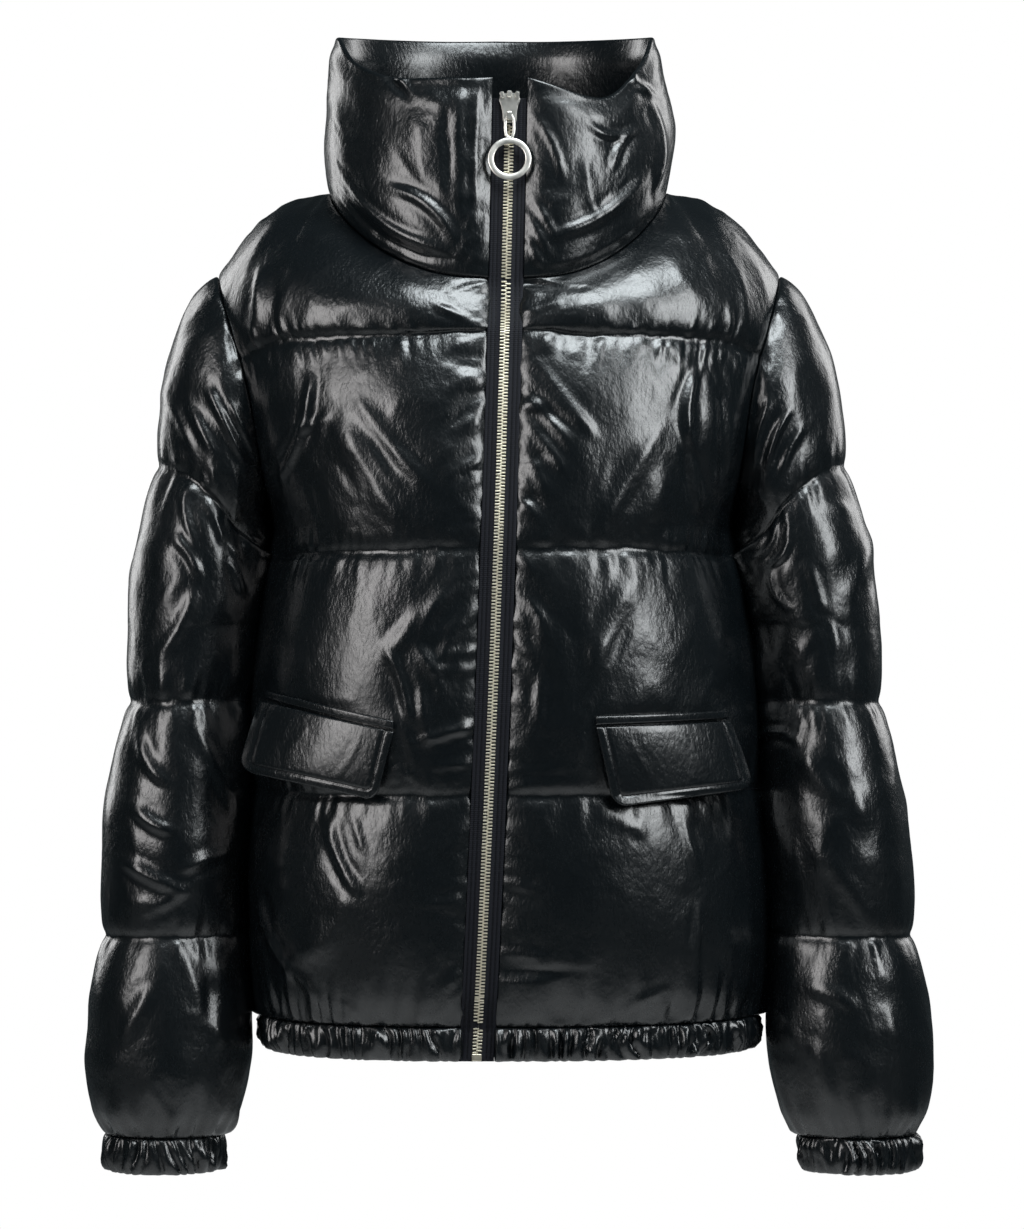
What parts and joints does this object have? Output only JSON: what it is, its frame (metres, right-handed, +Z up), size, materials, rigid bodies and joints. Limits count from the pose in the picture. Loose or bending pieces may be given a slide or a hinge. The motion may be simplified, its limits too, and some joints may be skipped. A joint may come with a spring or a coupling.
{
  "type": "puffer jacket",
  "caption": "Cropped glossy quilted puffer jacket with a tall funnel collar, full metal zip, flap pockets and gathered hem and cuffs",
  "frame": {"origin": "midway between the two points where the shoulder seams meet the neck seam, where a wearer holds the jacket up", "axes": "+X to the wearer's left, +Y to the back, +Z up"},
  "size_m": [0.5747, 0.2845, 0.773],
  "materials": {
    "shell": "high-gloss coated cloth, padded",
    "band": "the same coated cloth, gathered on elastic",
    "tape": "matt woven zip tape",
    "metal": "polished nickel"
  },
  "bodies": {
    "jacket": {"front_right": "shell", "front_left": "shell", "back": "shell", "sleeve_right": "shell", "sleeve_left": "shell", "cuff_right": "band", "cuff_left": "band", "hem_band": "band", "collar": "shell", "pocket_flap_right": "shell", "pocket_flap_left": "shell", "pocket_welt_right": "shell", "pocket_welt_left": "shell", "zip_tape_right": "tape", "zip_tape_left": "tape", "zip_slider": "metal"},
    "zip_pull": {"zip_pull": "metal"}
  },
  "joints": [
    {"name": "pull_swing", "type": "hinge", "parent": "jacket", "child": "zip_pull", "pos_m": [0.00823, -0.09642, 0.03619], "axis": [-1, 0, 0], "range_deg": [0, 150]}
  ]
}
